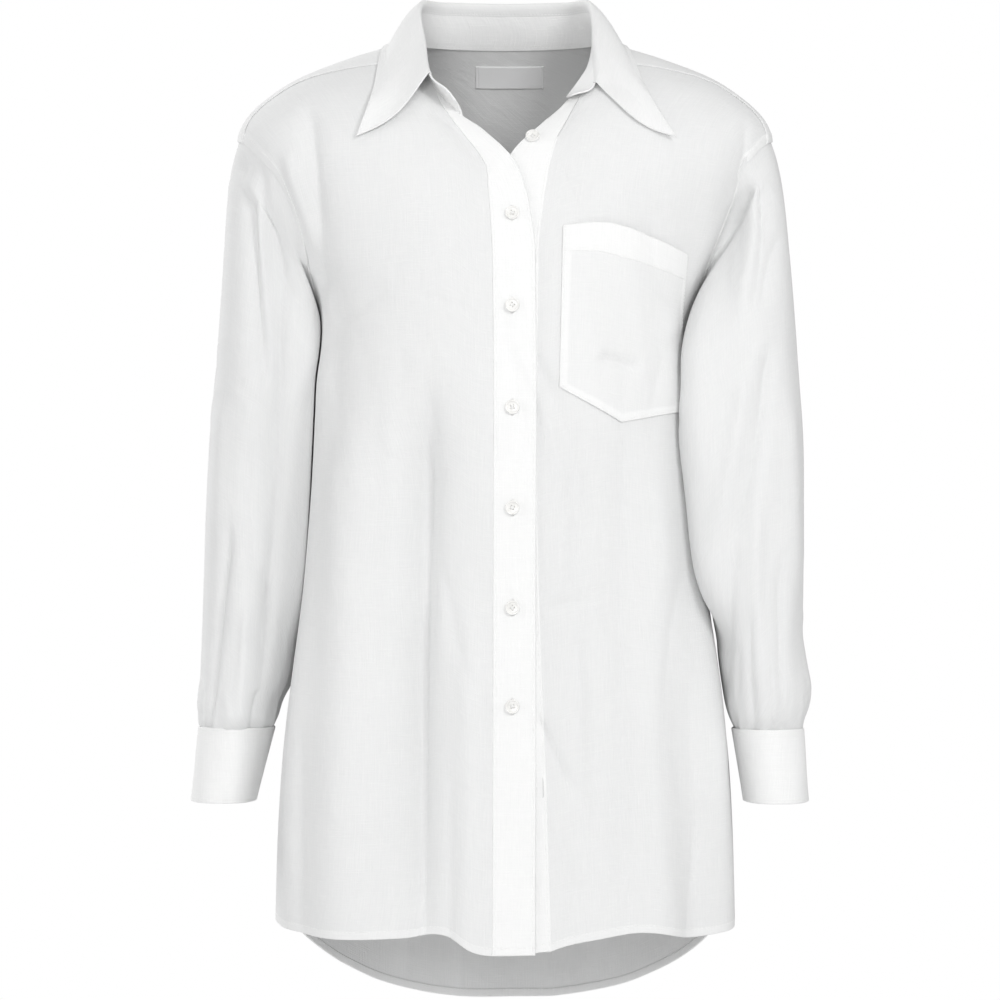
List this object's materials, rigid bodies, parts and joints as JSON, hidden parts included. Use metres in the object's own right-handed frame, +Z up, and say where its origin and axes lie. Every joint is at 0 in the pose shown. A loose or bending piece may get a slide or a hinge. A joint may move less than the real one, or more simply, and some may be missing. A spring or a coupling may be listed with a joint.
{
  "type": "linen shirt",
  "caption": "Oversized long-sleeved linen shirt, worn and hollow, with pointed collar, front band, chest pocket, pleated sleeves, buttoned cuffs and a longer curved back tail.",
  "frame": {"origin": "base of the neck, midway between the shoulders, where the wearer carries the shirt", "axes": "+Z up along the body; the shirt's front faces -Y; the wearer's left is +X"},
  "size_m": [0.5182, 0.292, 0.8569],
  "materials": {
    "linen": "white plain-weave linen with light slubs, matt",
    "linen_doubled": "the same linen folded double over a light interlining, matt",
    "label": "white woven ribbon, blank, slight sheen",
    "button": "white shell-like button, softly polished"
  },
  "bodies": {
    "root": {"front_right": "linen", "front_left": "linen", "band_right": "linen_doubled", "band_left": "linen_doubled", "back": "linen", "yoke": "linen", "sleeve_right": "linen", "sleeve_left": "linen", "sleeve_placket_right": "linen", "sleeve_placket_left": "linen", "cuff_right": "linen_doubled", "cuff_left": "linen_doubled", "collar_stand": "linen_doubled", "collar": "linen_doubled", "pocket": "linen", "pocket_hem": "linen", "label": "label", "button_1": "button", "button_2": "button", "button_3": "button", "button_4": "button", "button_5": "button", "button_6": "button", "button_7": "button", "button_cuff_right": "button", "button_cuff_left": "button"}
  },
  "joints": []
}
